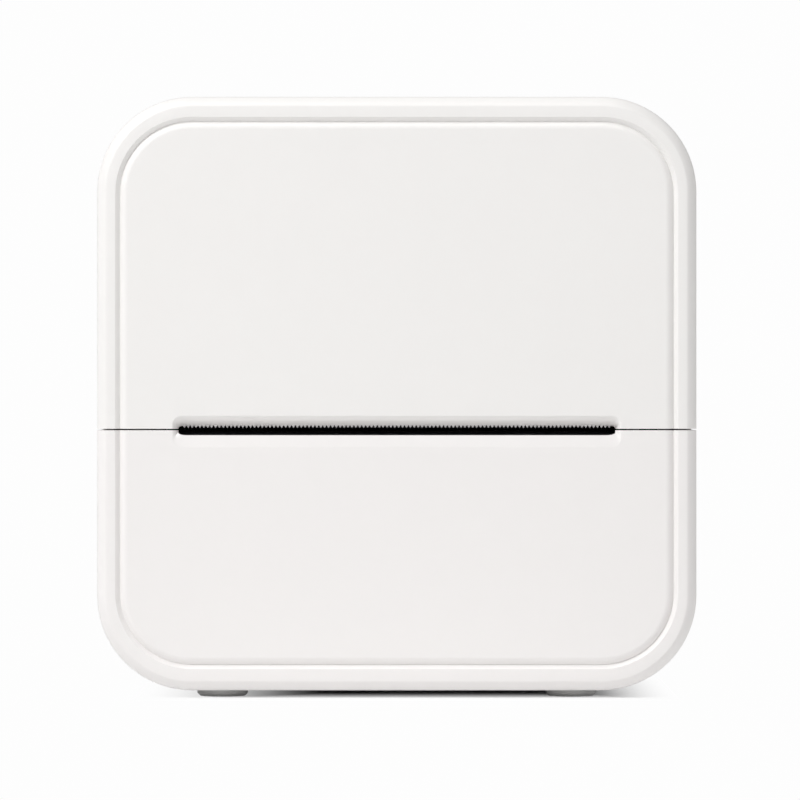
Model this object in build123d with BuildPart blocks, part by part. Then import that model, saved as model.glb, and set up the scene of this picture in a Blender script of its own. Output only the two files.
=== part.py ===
from build123d import *
from math import acos, cos, pi, radians, sin, tan
import os

os.makedirs("parts", exist_ok=True)

# Small receipt printer with a hinged upper cover. Millimetres, +Z up, the paper slot in the
# front face at -Y, and z = 0 at the underside of the four rubber feet.

# Outer body
body_w = 82.0
body_h = 81.2
body_d = 40.0
corner_r = 13.0
edge_r = 1.5
back_edge_r = 3.0
wall = 1.8
front_wall = 2.2
cover_depth = 14.0
parting_gap = 0.2
foot_proud = 1.0

# Its outer faces, which the places of the pieces are measured from
y_front = -body_d / 2
y_back = body_d / 2
x_side = body_w / 2
z_bottom = foot_proud
z_top = foot_proud + body_h
z_mid = foot_proud + body_h / 2

# Front face
split_height = 35.7
slot_w = 59.8
slot_above = 0.55
slot_below = 0.69
recess_w = 61.3
recess_above = 1.92
recess_below = 2.5
recess_depth = 1.3
recess_corner_r = 1.2
groove_inset = 3.15
groove_w = 1.8
groove_depth = 0.5

# Rubber feet
foot_r = 3.5
foot_sink = 0.5
foot_x = x_side - 17.0
front_foot_y = y_front + 7.0
back_foot_y = y_back - 8.0

# Cover hinge
hinge_r = 3.0
hinge_pin_r = 1.0
pin_clearance = 0.05
pin_snap = 1.7
hinge_gap = 0.3
knuckle_in = 9.0
knuckle_out = 19.7
lid_knuckle_end = x_side - 4.2
pin_from = 4.0
pin_to = 26.0

# Paper bay, for a roll 57 wide and 30 across
roll_r = 15.0
roll_clearance = 0.9
roll_back_gap = 0.1
roll_z = 57.5
bay_half_w = 29.2
frame_wall = 1.2
cheek_t = 1.4
bay_top = z_top - 6.7
flange_bottom = 50.0
flange_t = 1.2
sensor_x = 10.0
inside_clearance = 0.3

# Platen roller and its bearings
platen_y = y_front + 8.0
platen_z = 41.3
platen_r = 4.5
platen_half_l = 29.0
shaft_r = 2.0
journal_r = 1.5
bush_r = 3.0
bush_flange_r = 3.6
bush_flange_t = 0.5
journal_clearance = 0.05
notch_clearance = 0.1
notch_rise = 16.0
arm_t = 2.0
arm_ring_r = 4.2
arm_gap = 0.3
arm_to_plate = 0.5

# Sheet steel frame of the mechanism
plate_t = 1.0
plate_front = y_front + 4.0
plate_back = y_front + 20.5
plate_top = 47.5
plate_floor_z = 26.5
floor_back = y_front + 14.0
post_x = 27.0
post_y = y_front + 9.0
post_r = 2.5

# Print head
paper_gap = 0.3
head_front = y_front + 4.5
head_back = y_front + 17.0
ceramic_t = 1.0
ceramic_depth = 10.0
sink_t = 3.2
head_side_gap = 0.3
head_pivot_y = y_front + 15.5
head_pivot_z = 31.5
head_pin_r = 1.0
lug_r = 2.0
lug_t = 3.4
spring_x = 16.0
spring_w = 6.0
spring_t = 0.3

# Gear train on the left side
module = 0.5
pressure_angle = 25.0
backlash = 0.12
platen_teeth = 20
small_teeth = 16
large_teeth = 40
pinion_teeth = 12
drive_lean = -25.0
motor_lean = -61.0
gear_face = 2.4
large_face = 1.55
gear_gap = 0.4
stud_r = 1.25
motor_shaft_r = 0.75
motor_r = 6.0
motor_l = 12.3

# Circuit board, battery and the parts at the right edge
board_t = 1.2
board_back_gap = 3.5
board_left = 8.0 - x_side
board_right = x_side - 3.6
board_bottom = 12.8
board_top = 37.0
board_screw_x = board_right - 6.4
cell_w = 44.0
cell_h = 20.0
cell_t = 7.0
cell_x = 5.0
cell_bottom = 17.0
pad_t = 1.0
usb_z = 17.6
usb_w = 8.9
usb_h = 3.2
usb_depth = 7.3
light_z = 25.5
light_r = 1.0
button_z = 31.5
button_r = 2.5
button_travel = 0.4
button_gap = 0.1

# Screws
screw_head_r = 2.2
screw_head_t = 1.6
screw_r = 1.05
screw_l = 11.0
well_r = 2.45
tube_r = 3.4
screw_low_x = x_side - 8.0
screw_low_z = 9.0
screw_high_x = x_side - 7.0
screw_high_z = z_top - 16.2
small_head_r = 1.7
small_head_t = 1.2
small_screw_r = 0.8

# Tear bar
tear_pitch = 0.534
tear_tooth_h = 0.4
tear_t = 0.6

# Derived places
split_z = foot_proud + split_height
parting_y = y_front + cover_depth
cover_back = parting_y - parting_gap / 2
housing_front = parting_y + parting_gap / 2
face_inside = y_front + front_wall
back_inside = y_back - wall
floor_inside = z_bottom + wall
hinge_y = parting_y
hinge_z = z_top - hinge_r
swing_r = hinge_r + hinge_gap
lid_knuckle_in = knuckle_in - hinge_gap
lid_knuckle_out = knuckle_out + hinge_gap
trough_r = roll_r + roll_clearance
roll_y = back_inside - roll_back_gap - frame_wall - trough_r
cheek_out = bay_half_w + cheek_t
arm_in = platen_half_l + arm_gap + bush_flange_t
arm_out = arm_in + arm_t
plate_in = arm_out + arm_to_plate
plate_out = plate_in + plate_t
bush_end = plate_out + head_side_gap
head_top = platen_z - platen_r - paper_gap
sink_top = head_top - ceramic_t
sink_bottom = sink_top - sink_t
sink_half_w = plate_in - head_side_gap
gear_in = bush_end + gear_gap + 0.3
gear_out = gear_in + gear_face
large_in = gear_out + gear_gap
large_out = large_in + large_face
board_y = back_inside - board_back_gap
board_face = board_y - board_t
cell_back = board_face - pad_t
edge_y = board_face - usb_h / 2


def on_front(y):
    """Plane parallel to the front face: local x is X, local y is Z, normal towards the front."""
    return Plane.XZ.offset(-y)


def on_side(x):
    """Plane square to X: local x is Y, local y is Z, normal towards +X."""
    return Plane.YZ.offset(x)


# Outer block of the whole body, to trim what follows its corners
with BuildPart() as envelope:
    with BuildSketch(on_front(y_back)):
        with Locations((0, z_mid)):
            RectangleRounded(body_w, body_h, corner_r)
    extrude(amount=body_d)

# Front block, still in one piece: the groove and the recess run across the split line
with BuildPart() as front_block:
    with BuildSketch(on_front(cover_back)):
        with Locations((0, z_mid)):
            RectangleRounded(body_w, body_h, corner_r)
    extrude(amount=cover_back - y_front)
    fillet(front_block.faces().sort_by(Axis.Y)[0].edges(), edge_r)
    with BuildSketch(on_front(cover_back)):
        with Locations((0, z_mid)):
            RectangleRounded(body_w - 2 * wall, body_h - 2 * wall, corner_r - wall)
    extrude(amount=cover_back - y_front - front_wall, mode=Mode.SUBTRACT)

    # Moulded groove, one V with a round bottom, swept along a rounded rectangle
    groove_x = x_side - groove_inset
    groove_z = body_h / 2 - groove_inset
    with BuildLine(on_front(y_front)) as groove_path:
        FilletPolyline(
            (groove_x, z_mid + groove_z),
            (groove_x, z_mid - groove_z),
            (-groove_x, z_mid - groove_z),
            (-groove_x, z_mid + groove_z),
            radius=corner_r - groove_inset,
            close=True,
        )
    groove_start = Plane(
        origin=groove_path.line @ 0, x_dir=(0, 1, 0), z_dir=groove_path.line % 0
    )
    with BuildSketch(groove_start):
        with BuildLine():
            Polyline(
                (groove_depth * 0.8, -groove_w / 6),
                (-groove_depth * 0.1, -groove_w / 2 * 1.1),
                (-groove_depth * 0.1, groove_w / 2 * 1.1),
                (groove_depth * 0.8, groove_w / 6),
            )
            ThreePointArc(
                (groove_depth * 0.8, groove_w / 6),
                (groove_depth, 0),
                (groove_depth * 0.8, -groove_w / 6),
            )
        make_face()
    sweep(path=groove_path.line, mode=Mode.SUBTRACT)

    # Recess that slopes in to the paper slot, then the slot through the wall
    recess_h = recess_above + recess_below
    slot_h = slot_above + slot_below
    with BuildSketch(on_front(y_front)):
        with Locations((0, split_z + (recess_above - recess_below) / 2)):
            RectangleRounded(recess_w, recess_h, recess_corner_r)
    with BuildSketch(on_front(y_front + recess_depth)):
        with Locations((0, split_z + (slot_above - slot_below) / 2)):
            RectangleRounded(slot_w, slot_h, slot_h * 0.4)
    loft(ruled=True, mode=Mode.SUBTRACT)
    with BuildSketch(on_front(face_inside + 1)):
        with Locations((0, split_z + (slot_above - slot_below) / 2)):
            RectangleRounded(slot_w, slot_h, slot_h * 0.4)
    extrude(amount=front_wall, mode=Mode.SUBTRACT)

# Outer knuckles of the cover, trimmed to the rounded corner of the body
with BuildPart() as lid_barrel:
    with BuildSketch(on_side(lid_knuckle_out)):
        with Locations((hinge_y, hinge_z)):
            Circle(hinge_r)
    extrude(amount=lid_knuckle_end - lid_knuckle_out)
    mirror(about=Plane.YZ)
    with BuildSketch(on_side(-lid_knuckle_in)):
        with Locations((hinge_y, hinge_z)):
            Circle(hinge_r)
    extrude(amount=2 * lid_knuckle_in)
    add(envelope.part, mode=Mode.INTERSECT)

# Upper cover, cut from the front block, with its knuckles
bracket_screws_at = [(-26, 50), (26, 50), (-26, 71), (26, 71)]
with BuildPart() as lid_shell:
    add(front_block.part)
    split(bisect_by=Plane.XY.offset(split_z + parting_gap / 2), keep=Keep.TOP)
    # Clear the housing knuckles
    for side in (-1, 1):
        with BuildSketch(on_side(side * lid_knuckle_in)):
            with Locations((hinge_y - swing_r, hinge_z - swing_r)):
                Rectangle(2 * swing_r, 3 * swing_r, align=(Align.MIN, Align.MIN))
        extrude(amount=side * (lid_knuckle_out - lid_knuckle_in), mode=Mode.SUBTRACT)
    add(lid_barrel.part)
    # Bores of the pins, open below so that the knuckles snap on
    for side in (-1, 1):
        with BuildSketch(on_side(side * pin_from)):
            with Locations((hinge_y, hinge_z)):
                Circle(hinge_pin_r + pin_clearance)
            with Locations((hinge_y, hinge_z - hinge_r)):
                Rectangle(pin_snap, 2 * hinge_r)
        extrude(amount=side * (pin_to - pin_from + hinge_gap), mode=Mode.SUBTRACT)
    # Screw holes for the platen bracket
    with BuildSketch(on_front(face_inside)):
        with Locations(*bracket_screws_at):
            Circle(small_screw_r + 0.05)
    extrude(amount=front_wall - 0.8, mode=Mode.SUBTRACT)
lid_shell.part.label = "lid_shell"
export_step(lid_shell.part, "parts/lid_shell.step")

# Lower front cover, the other half of the front block, with the posts of the mechanism
low_screws_at = [(-screw_low_x, screw_low_z), (screw_low_x, screw_low_z)]
low_tube_end = parting_y + 1.5
ledge_top = split_z - 6.5
ledge_x = 20.0
with BuildPart() as front_lower_cover:
    add(front_block.part)
    split(bisect_by=Plane.XY.offset(split_z - parting_gap / 2), keep=Keep.BOTTOM)
    with BuildSketch(on_front(low_tube_end - parting_gap)):
        with Locations(*low_screws_at):
            Circle(post_r + 0.1)
    extrude(amount=low_tube_end - parting_gap - face_inside)
    with BuildSketch(on_front(low_tube_end - parting_gap)):
        with Locations(*low_screws_at):
            Circle(screw_r + 0.05)
    extrude(amount=screw_l - low_tube_end + parting_y - 2.0, mode=Mode.SUBTRACT)
    with BuildSketch(Plane.XY.offset(floor_inside - 0.1)):
        with Locations((-post_x, post_y), (post_x, post_y)):
            Circle(post_r)
    extrude(amount=plate_floor_z - floor_inside + 0.1)
    with BuildSketch(Plane.XY.offset(plate_floor_z)):
        with Locations((-post_x, post_y), (post_x, post_y)):
            Circle(small_screw_r + 0.05)
    extrude(amount=-8.0, mode=Mode.SUBTRACT)
    # Ribs from the posts to the front wall
    with BuildSketch(Plane.XY.offset(floor_inside - 0.1)):
        with Locations((-post_x, (post_y + face_inside) / 2), (post_x, (post_y + face_inside) / 2)):
            Rectangle(1.2, abs(face_inside - post_y) + 0.2)
    extrude(amount=(plate_floor_z - floor_inside) * 0.7)
    with Locations((-post_x, post_y, plate_floor_z), (post_x, post_y, plate_floor_z)):
        Hole(small_screw_r + 0.05, depth=8.0)
    # Ledges under the exit guide
    with BuildSketch(Plane.XY.offset(ledge_top)):
        with Locations((-ledge_x, face_inside), (ledge_x, face_inside)):
            Rectangle(5, 3.0)
    extrude(amount=-2.0)
    # Seats of the two front feet
    with BuildSketch(Plane.XY.offset(z_bottom)):
        with Locations((-foot_x, front_foot_y), (foot_x, front_foot_y)):
            Circle(foot_r + 0.1)
    extrude(amount=foot_sink, mode=Mode.SUBTRACT)
front_lower_cover.part.label = "front_lower_cover"
export_step(front_lower_cover.part, "parts/front_lower_cover.step")

# Rear housing: a shell with a rounded back edge, two pairs of screw tubes, the hinge knuckles,
# standoffs for the board and openings in the right wall
high_screws_at = [(-screw_high_x, screw_high_z), (screw_high_x, screw_high_z)]
low_well_floor = parting_y + 6.0
high_well_floor = low_well_floor + 8.0
high_tube_end = high_well_floor - 5.0
board_screws_at = [
    (board_left + 3.0, board_bottom + 3.0),
    (board_left + 3.0, board_top - 3.0),
    (board_screw_x, board_top - 2.5),
    (board_screw_x, light_z - 1.5),
]
tongue_t = 0.9
tongue_l = 2.0
tongue_top = plate_floor_z - 1.5
rib_x = [cell_x - 10.0, cell_x + 10.0]
cell_front = cell_back - cell_t
with BuildPart() as rear_housing:
    with BuildSketch(on_front(housing_front)):
        with Locations((0, z_mid)):
            RectangleRounded(body_w, body_h, corner_r)
    extrude(amount=housing_front - y_back)
    fillet(rear_housing.faces().sort_by(Axis.Y)[-1].edges(), back_edge_r)
    with BuildSketch(on_front(housing_front)):
        with Locations((0, z_mid)):
            RectangleRounded(body_w - 2 * wall, body_h - 2 * wall, corner_r - wall)
    extrude(amount=housing_front - back_inside, mode=Mode.SUBTRACT)

    # Screw tubes, then their wells and holes
    with BuildSketch(on_front(back_inside)):
        with Locations(*low_screws_at):
            Circle(tube_r)
    extrude(amount=back_inside - low_tube_end)
    with BuildSketch(on_front(back_inside)):
        with Locations(*high_screws_at):
            Circle(tube_r)
    extrude(amount=back_inside - high_tube_end)
    # Webs from the upper tubes to the side walls
    with BuildSketch(on_front(back_inside)):
        with Locations((0, screw_high_z)):
            Rectangle(2 * (x_side - wall / 2), 1.2)
            Rectangle(2 * screw_high_x, 2.4, mode=Mode.SUBTRACT)
    extrude(amount=back_inside - high_tube_end)
    for places, well_floor in ((low_screws_at, low_well_floor), (high_screws_at, high_well_floor)):
        with BuildSketch(on_front(y_back)):
            with Locations(*places):
                Circle(well_r)
        extrude(amount=y_back - well_floor, mode=Mode.SUBTRACT)
        with BuildSketch(on_front(y_back)):
            with Locations(*places):
                Circle(screw_r + 0.25)
        extrude(amount=y_back - cover_back, mode=Mode.SUBTRACT)

    # Tongue that lines up the lower cover, cut away at the posts
    with BuildSketch(on_front(housing_front + 1.5)):
        with Locations((0, z_mid)):
            RectangleRounded(body_w - 2 * wall + 0.2, body_h - 2 * wall + 0.2, corner_r - wall + 0.1)
            RectangleRounded(
                body_w - 2 * (wall + 0.15 + tongue_t),
                body_h - 2 * (wall + 0.15 + tongue_t),
                corner_r - wall - 0.15 - tongue_t,
                mode=Mode.SUBTRACT,
            )
        with Locations((0, tongue_top)):
            Rectangle(2 * body_w, 2 * body_h, align=(Align.CENTER, Align.MIN), mode=Mode.SUBTRACT)
    extrude(amount=1.5)
    with BuildSketch(on_front(housing_front + 0.1)):
        with Locations((0, z_mid)):
            RectangleRounded(
                body_w - 2 * (wall + 0.15), body_h - 2 * (wall + 0.15), corner_r - wall - 0.15
            )
            RectangleRounded(
                body_w - 2 * (wall + 0.15 + tongue_t),
                body_h - 2 * (wall + 0.15 + tongue_t),
                corner_r - wall - 0.15 - tongue_t,
                mode=Mode.SUBTRACT,
            )
        with Locations((0, tongue_top)):
            Rectangle(2 * body_w, 2 * body_h, align=(Align.CENTER, Align.MIN), mode=Mode.SUBTRACT)
        with Locations(*low_screws_at):
            Circle(post_r + 0.5, mode=Mode.SUBTRACT)
    extrude(amount=tongue_l + 0.1)

    # Room for the cover knuckles and for the top wall of the opened cover
    for x_from, x_to in ((-knuckle_in, knuckle_in), (knuckle_out, lid_knuckle_end + hinge_gap)):
        with BuildSketch(on_side(x_from)):
            with Locations((hinge_y, hinge_z)):
                Circle(swing_r)
                Rectangle(2 * swing_r, 2 * swing_r, align=(Align.CENTER, Align.MIN))
        extrude(amount=x_to - x_from, mode=Mode.SUBTRACT)
        with BuildSketch(on_side(-x_from)):
            with Locations((hinge_y, hinge_z)):
                Circle(swing_r)
                Rectangle(2 * swing_r, 2 * swing_r, align=(Align.CENTER, Align.MIN))
        extrude(amount=x_from - x_to, mode=Mode.SUBTRACT)
    # Housing knuckles, each with a bore that grips its pin
    for side in (-1, 1):
        with BuildSketch(on_side(side * knuckle_in)):
            with Locations((hinge_y, hinge_z)):
                Circle(hinge_r)
        extrude(amount=side * (knuckle_out - knuckle_in))
        with BuildSketch(on_side(side * (knuckle_in - 1))):
            with Locations((hinge_y, hinge_z)):
                Circle(hinge_pin_r + 0.01)
        extrude(amount=side * (knuckle_out - knuckle_in + 2), mode=Mode.SUBTRACT)

    # Standoffs of the board
    with BuildSketch(on_front(back_inside + 0.1)):
        with Locations(*board_screws_at):
            Circle(2.2)
    extrude(amount=board_back_gap + 0.1)
    with BuildSketch(on_front(board_y)):
        with Locations(*board_screws_at):
            Circle(small_screw_r + 0.05)
    extrude(amount=-board_back_gap, mode=Mode.SUBTRACT)

    # Two ribs that carry the battery
    for x in rib_x:
        with BuildSketch(on_side(x - 0.75)):
            with BuildLine():
                Polyline(
                    (cell_front - 2.0, floor_inside - 0.1),
                    (cell_back, floor_inside - 0.1),
                    (cell_back, cell_bottom),
                    (cell_front - 0.2, cell_bottom),
                    (cell_front - 0.2, cell_bottom + 6.0),
                    (cell_front - 1.4, cell_bottom + 6.0),
                    (cell_front - 2.0, floor_inside - 0.1),
                )
            make_face()
        extrude(amount=1.5)

    # Openings in the right wall for the charging port, the light and the button
    with BuildSketch(on_side(x_side - wall - 0.2)):
        with Locations((edge_y, usb_z)):
            SlotOverall(usb_w + 0.4, usb_h + 0.4, rotation=90)
        with Locations((edge_y, light_z)):
            Circle(light_r + button_gap)
        with Locations((edge_y, button_z)):
            Circle(button_r + button_gap)
    extrude(amount=wall + 1.0, mode=Mode.SUBTRACT)

    # Seats of the two back feet
    with BuildSketch(Plane.XY.offset(z_bottom)):
        with Locations((-foot_x, back_foot_y), (foot_x, back_foot_y)):
            Circle(foot_r + 0.1)
    extrude(amount=foot_sink, mode=Mode.SUBTRACT)
rear_housing.part.label = "rear_housing"
export_step(rear_housing.part, "parts/rear_housing.step")

# Rubber feet, pressed into shallow seats
with BuildPart() as feet:
    with BuildSketch(Plane.XY):
        with Locations(
            (-foot_x, front_foot_y), (foot_x, front_foot_y), (-foot_x, back_foot_y), (foot_x, back_foot_y)
        ):
            Circle(foot_r)
    extrude(amount=foot_proud + foot_sink)
    chamfer(feet.edges().group_by(Axis.Z)[0], 0.4)
feet.part.label = "feet"
export_step(feet.part, "parts/feet.step")

# Hinge pins, held in the housing knuckles
with BuildPart() as hinge_pins:
    with BuildSketch(on_side(pin_from)):
        with Locations((hinge_y, hinge_z)):
            Circle(hinge_pin_r)
    extrude(amount=pin_to - pin_from)
    mirror(about=Plane.YZ)
hinge_pins.part.label = "hinge_pins"
export_step(hinge_pins.part, "parts/hinge_pins.step")

# Inner frame: the trough under the roll, its cheeks, and a flange that closes the sides
trough_out = trough_r + frame_wall
bay_back = roll_y + trough_out
flange_front = housing_front + 0.2
gear_y = platen_y + module * (platen_teeth + small_teeth) / 2 * cos(radians(drive_lean))
gear_z = platen_z + module * (platen_teeth + small_teeth) / 2 * sin(radians(drive_lean))
with BuildPart() as inner_frame:
    with BuildSketch(on_side(-cheek_out)):
        with Locations((roll_y, roll_z)):
            Circle(trough_out)
        with Locations((bay_back, roll_z)):
            Rectangle(bay_back - flange_front, bay_top - roll_z, align=(Align.MAX, Align.MIN))
        with Locations((flange_front, roll_z)):
            Rectangle(trough_out * 2, trough_out * 4, align=(Align.MAX, Align.CENTER), mode=Mode.SUBTRACT)
    extrude(amount=2 * cheek_out)
    with BuildSketch(on_side(-bay_half_w)):
        with Locations((roll_y, roll_z)):
            Circle(trough_r)
        with Locations((roll_y + trough_r, roll_z)):
            Rectangle(4 * trough_r, bay_top, align=(Align.MAX, Align.MIN))
    extrude(amount=2 * bay_half_w, mode=Mode.SUBTRACT)
    # Apron that leads the paper down behind the platen
    with BuildSketch(on_side(-bay_half_w - 0.1)):
        with Locations((flange_front, head_top + 0.9)):
            Rectangle(frame_wall, 5.4, align=(Align.MIN, Align.MIN))
    extrude(amount=2 * bay_half_w + 0.2)
    # Flange, following the inside of the housing
    with BuildSketch(on_front(flange_front + flange_t)):
        with Locations((0, z_mid)):
            RectangleRounded(
                body_w - 2 * (wall + inside_clearance),
                body_h - 2 * (wall + inside_clearance),
                corner_r - wall - inside_clearance,
            )
        with Locations((0, flange_bottom)):
            Rectangle(2 * body_w, 2 * body_h, align=(Align.CENTER, Align.MAX), mode=Mode.SUBTRACT)
        with Locations((0, bay_top)):
            Rectangle(2 * body_w, 2 * body_h, align=(Align.CENTER, Align.MIN), mode=Mode.SUBTRACT)
        with Locations((0, z_mid)):
            Rectangle(2 * cheek_out - 0.4, 2 * body_h, mode=Mode.SUBTRACT)
    extrude(amount=flange_t)
    # Screw bosses behind the flange
    with BuildSketch(on_front(flange_front + 0.1)):
        with Locations(*high_screws_at):
            Circle(post_r + 0.1)
    extrude(amount=flange_front + 0.1 - high_tube_end + 0.1)
    with BuildSketch(on_front(high_tube_end)):
        with Locations(*high_screws_at):
            Circle(screw_r + 0.05)
    extrude(amount=high_tube_end - flange_front - 0.6, mode=Mode.SUBTRACT)
    # Window of the paper sensor
    with BuildSketch(on_front(flange_front + 2 * frame_wall)):
        with Locations((sensor_x, head_top + 3.2)):
            Rectangle(3.0, 2.0)
    extrude(amount=3 * frame_wall, mode=Mode.SUBTRACT)
inner_frame.part.label = "inner_frame"
export_step(inner_frame.part, "parts/inner_frame.step")

# Bracket on the inside of the cover: a liner with two arms that carry the platen
liner_t = 1.3
liner_half_w = 33.0
liner_bottom = 43.0
liner_top = bay_top
liner_back = face_inside + liner_t
tear_step = 5.0
arm_root = 12.0
with BuildPart() as platen_bracket:
    with BuildSketch(on_front(liner_back)):
        with Locations((0, (liner_bottom + liner_top) / 2)):
            RectangleRounded(2 * liner_half_w, liner_top - liner_bottom, 4.0)
    extrude(amount=liner_t)
    # Step behind which the tear bar is clamped
    with BuildSketch(on_front(face_inside + tear_t + 0.05)):
        with Locations((0, liner_bottom - 1)):
            Rectangle(2 * liner_half_w + 2, tear_step, align=(Align.CENTER, Align.MIN))
    extrude(amount=tear_t + 1, mode=Mode.SUBTRACT)
    for side in (-1, 1):
        with BuildSketch(on_side(side * arm_in)):
            with Locations((platen_y, platen_z)):
                Circle(arm_ring_r)
            with BuildLine():
                Polyline(
                    (liner_back - 0.2, liner_bottom + 0.4),
                    (liner_back - 0.2, liner_bottom + arm_root),
                    (liner_back + 2.0, liner_bottom + arm_root),
                    (platen_y + arm_ring_r * 0.9, platen_z + arm_ring_r * 0.45),
                    (platen_y, platen_z),
                    (liner_back - 0.2, liner_bottom + 0.4),
                )
            make_face()
        extrude(amount=side * arm_t)
        with BuildSketch(on_side(side * arm_in)):
            with Locations((platen_y, platen_z)):
                Circle(bush_r + 0.01)
        extrude(amount=side * arm_t, mode=Mode.SUBTRACT)
    with BuildSketch(on_front(liner_back)):
        with Locations(*bracket_screws_at):
            Circle(small_screw_r + 0.15)
    extrude(amount=liner_t, mode=Mode.SUBTRACT)
    for x, z in bracket_screws_at:
        with BuildSketch(on_front(liner_back)):
            with Locations((x, z)):
                Circle(small_head_r + 0.05)
        with BuildSketch(on_front(liner_back - 0.9)):
            with Locations((x, z)):
                Circle(small_screw_r + 0.15)
        loft(mode=Mode.SUBTRACT)
platen_bracket.part.label = "platen_bracket"
export_step(platen_bracket.part, "parts/platen_bracket.step")

# Countersunk screws of the bracket
with BuildPart() as bracket_screws:
    for x, z in bracket_screws_at:
        with BuildSketch(on_front(liner_back - 0.1)):
            with Locations((x, z)):
                Circle(small_head_r - 0.2)
        with BuildSketch(on_front(liner_back - 0.9)):
            with Locations((x, z)):
                Circle(small_screw_r)
        loft()
    with BuildSketch(on_front(liner_back - 0.9)):
        with Locations(*bracket_screws_at):
            Circle(small_screw_r)
    extrude(amount=liner_t - 0.9 + front_wall - 1.0)
bracket_screws.part.label = "bracket_screws"
export_step(bracket_screws.part, "parts/bracket_screws.step")

# Tear bar, a thin strip with a row of teeth along its lower edge
tear_half_w = slot_w / 2 + 1.1
tear_root_z = split_z + slot_above + 0.05
tear_count = int((slot_w - 1.0) / tear_pitch)
tear_top = liner_bottom + 3.8
with BuildPart() as tear_bar:
    with BuildSketch(on_front(face_inside + tear_t)):
        with BuildLine():
            tear_points = [(-tear_half_w, tear_top), (-tear_half_w, tear_root_z)]
            for i in range(tear_count):
                x = (i - tear_count / 2) * tear_pitch
                tear_points.append((x, tear_root_z))
                tear_points.append((x + tear_pitch / 2, tear_root_z - tear_tooth_h))
            tear_points.append((tear_count / 2 * tear_pitch, tear_root_z))
            tear_points.append((tear_half_w, tear_root_z))
            tear_points.append((tear_half_w, tear_top))
            Polyline(*tear_points, close=True)
        make_face()
    extrude(amount=tear_t)
tear_bar.part.label = "tear_bar"
export_step(tear_bar.part, "parts/tear_bar.step")

# Flanged bushes of the platen, pressed into the arms of the bracket
with BuildPart() as platen_bushes:
    with BuildSketch(on_side(arm_in - bush_flange_t)):
        with Locations((platen_y, platen_z)):
            Circle(bush_flange_r)
    extrude(amount=bush_flange_t)
    with BuildSketch(on_side(arm_in)):
        with Locations((platen_y, platen_z)):
            Circle(bush_r)
    extrude(amount=bush_end - arm_in)
    with BuildSketch(on_side(arm_in - 1)):
        with Locations((platen_y, platen_z)):
            Circle(journal_r + journal_clearance)
    extrude(amount=bush_end - arm_in + 2, mode=Mode.SUBTRACT)
    mirror(about=Plane.YZ)
platen_bushes.part.label = "platen_bushes"
export_step(platen_bushes.part, "parts/platen_bushes.step")

# Platen: rubber sleeve on a stepped steel shaft
with BuildPart() as platen_roller:
    with BuildSketch(on_side(-platen_half_l)):
        with Locations((platen_y, platen_z)):
            Circle(platen_r)
            Circle(shaft_r + 0.01, mode=Mode.SUBTRACT)
    extrude(amount=2 * platen_half_l)
    chamfer(platen_roller.edges().filter_by(GeomType.CIRCLE).group_by(SortBy.RADIUS)[-1], 0.3)
platen_roller.part.label = "platen_roller"
export_step(platen_roller.part, "parts/platen_roller.step")

with BuildPart() as platen_shaft:
    with BuildSketch(on_side(-platen_half_l - 0.1)):
        with Locations((platen_y, platen_z)):
            Circle(shaft_r)
    extrude(amount=2 * platen_half_l + 0.2)
    with BuildSketch(on_side(-gear_out)):
        with Locations((platen_y, platen_z)):
            Circle(journal_r)
    extrude(amount=gear_out + bush_end + 1.0)
    chamfer(platen_shaft.faces().sort_by(Axis.X)[-1].edges(), 0.3)
platen_shaft.part.label = "platen_shaft"
export_step(platen_shaft.part, "parts/platen_shaft.step")


def gear_points(teeth, first_tooth, y, z):
    """Outline of an involute gear about (y, z), with a tooth at the angle first_tooth."""
    pitch_r = module * teeth / 2
    tip_r = pitch_r + 0.9 * module
    root_r = pitch_r - 1.2 * module
    base_r = pitch_r * cos(radians(pressure_angle))
    at_pitch = tan(radians(pressure_angle)) - radians(pressure_angle)
    half_tooth = (pi * module / 2 - backlash) / 2 / pitch_r
    flank = []
    for step in range(4):
        r = max(base_r, root_r) + (tip_r - max(base_r, root_r)) * step / 3
        turn = acos(base_r / r)
        flank.append((r, half_tooth + at_pitch - (tan(turn) - turn)))
    if root_r < base_r:
        flank.insert(0, (root_r, flank[0][1]))
    points = []
    for i in range(teeth):
        middle = radians(first_tooth) + 2 * pi * i / teeth
        for r, half in flank:
            points.append((y + r * cos(middle - half), z + r * sin(middle - half)))
        for r, half in reversed(flank):
            points.append((y + r * cos(middle + half), z + r * sin(middle + half)))
    return points


# Gears, with a tooth of one in a gap of the other along each line of centres
motor_distance = module * (large_teeth + pinion_teeth) / 2
motor_y = gear_y + motor_distance * cos(radians(motor_lean))
motor_z = gear_z + motor_distance * sin(radians(motor_lean))

with BuildPart() as platen_gear:
    with BuildSketch(on_side(-gear_out)):
        with BuildLine():
            Polyline(
                *gear_points(platen_teeth, drive_lean + 180 / platen_teeth, platen_y, platen_z),
                close=True,
            )
        make_face()
        with Locations((platen_y, platen_z)):
            Circle(journal_r + 0.01, mode=Mode.SUBTRACT)
    extrude(amount=gear_face)
platen_gear.part.label = "platen_gear"
export_step(platen_gear.part, "parts/platen_gear.step")

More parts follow.
